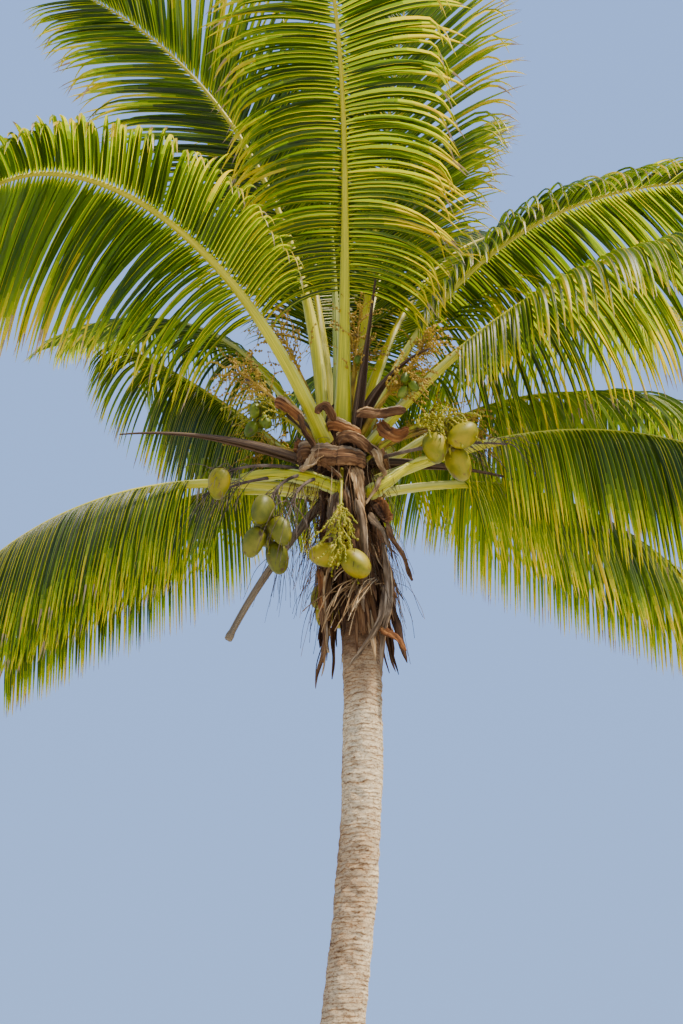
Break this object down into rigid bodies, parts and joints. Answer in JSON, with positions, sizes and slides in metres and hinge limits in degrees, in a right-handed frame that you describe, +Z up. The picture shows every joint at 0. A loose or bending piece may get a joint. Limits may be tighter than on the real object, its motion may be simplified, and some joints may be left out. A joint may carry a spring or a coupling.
{
  "type": "coconut palm tree",
  "caption": "Leaning coconut palm with a ringed trunk flaring at its foot and a full crown of arching feathered fronds, woody spathes, hanging dead sheaths and bunches of green nuts.",
  "frame": {"origin": "middle of the flat cut under the trunk, at ground level", "axes": "+Z up, +X the way the trunk leans, -Y the side the palm is usually seen from"},
  "size_m": [8.6807, 8.4341, 12.9401],
  "materials": {
    "ringed_bark": "rough, ringed, weathered grey brown",
    "dead_fibre": "dry brown fibre",
    "woody_spathe": "dry, dark, faintly ribbed",
    "green_leaf": "waxy green leaf with golden tips",
    "green_husk": "smooth yellow green husk"
  },
  "bodies": {
    "root": {"bunch_front": "green_husk", "bunch_left": "green_husk", "bunch_left_green": "green_husk", "bunch_left_single": "green_husk", "bunch_rear": "green_husk", "bunch_rear_left": "green_husk", "bunch_rear_right": "green_husk", "bunch_right": "green_husk", "bunch_young": "green_husk", "bunch_young_upright": "green_husk", "dead_sheath_front": "dead_fibre", "dead_sheath_left": "dead_fibre", "dead_sheath_rear": "dead_fibre", "dead_sheath_rear_left": "dead_fibre", "dead_sheath_rear_right": "dead_fibre", "dead_sheath_right": "dead_fibre", "dead_stalk": "woody_spathe", "frond_front": "green_leaf", "frond_left_arching_base": "green_leaf", "frond_left_arching_tip": "green_leaf", "frond_left_drooping": "green_leaf", "frond_left_high": "green_leaf", "frond_left_low_base": "green_leaf", "frond_left_low_tip": "green_leaf", "frond_rear_inner_1": "green_leaf", "frond_rear_inner_2": "green_leaf", "frond_rear_left": "green_leaf", "frond_rear_lower_1": "green_leaf", "frond_rear_lower_2": "green_leaf", "frond_rear_lower_3": "green_leaf", "frond_rear_middle_1": "green_leaf", "frond_rear_middle_2": "green_leaf", "frond_rear_side_1_base": "green_leaf", "frond_rear_side_1_tip": "green_leaf", "frond_rear_side_2_base": "green_leaf", "frond_rear_side_2_tip": "green_leaf", "frond_rear_upper_1": "green_leaf", "frond_rear_upright": "green_leaf", "frond_right_arching_base": "green_leaf", "frond_right_arching_tip": "green_leaf", "frond_right_high_base": "green_leaf", "frond_right_high_tip": "green_leaf", "frond_right_low_base": "green_leaf", "frond_right_low_tip": "green_leaf", "frond_right_upright": "green_leaf", "heart": "dead_fibre", "spathe_front_upright": "woody_spathe", "spathe_left": "woody_spathe", "spathe_left_rear": "woody_spathe", "spathe_over_young": "woody_spathe", "spathe_rear": "woody_spathe", "spathe_right": "woody_spathe", "spear": "green_leaf", "trunk": "ringed_bark"}
  },
  "joints": []
}
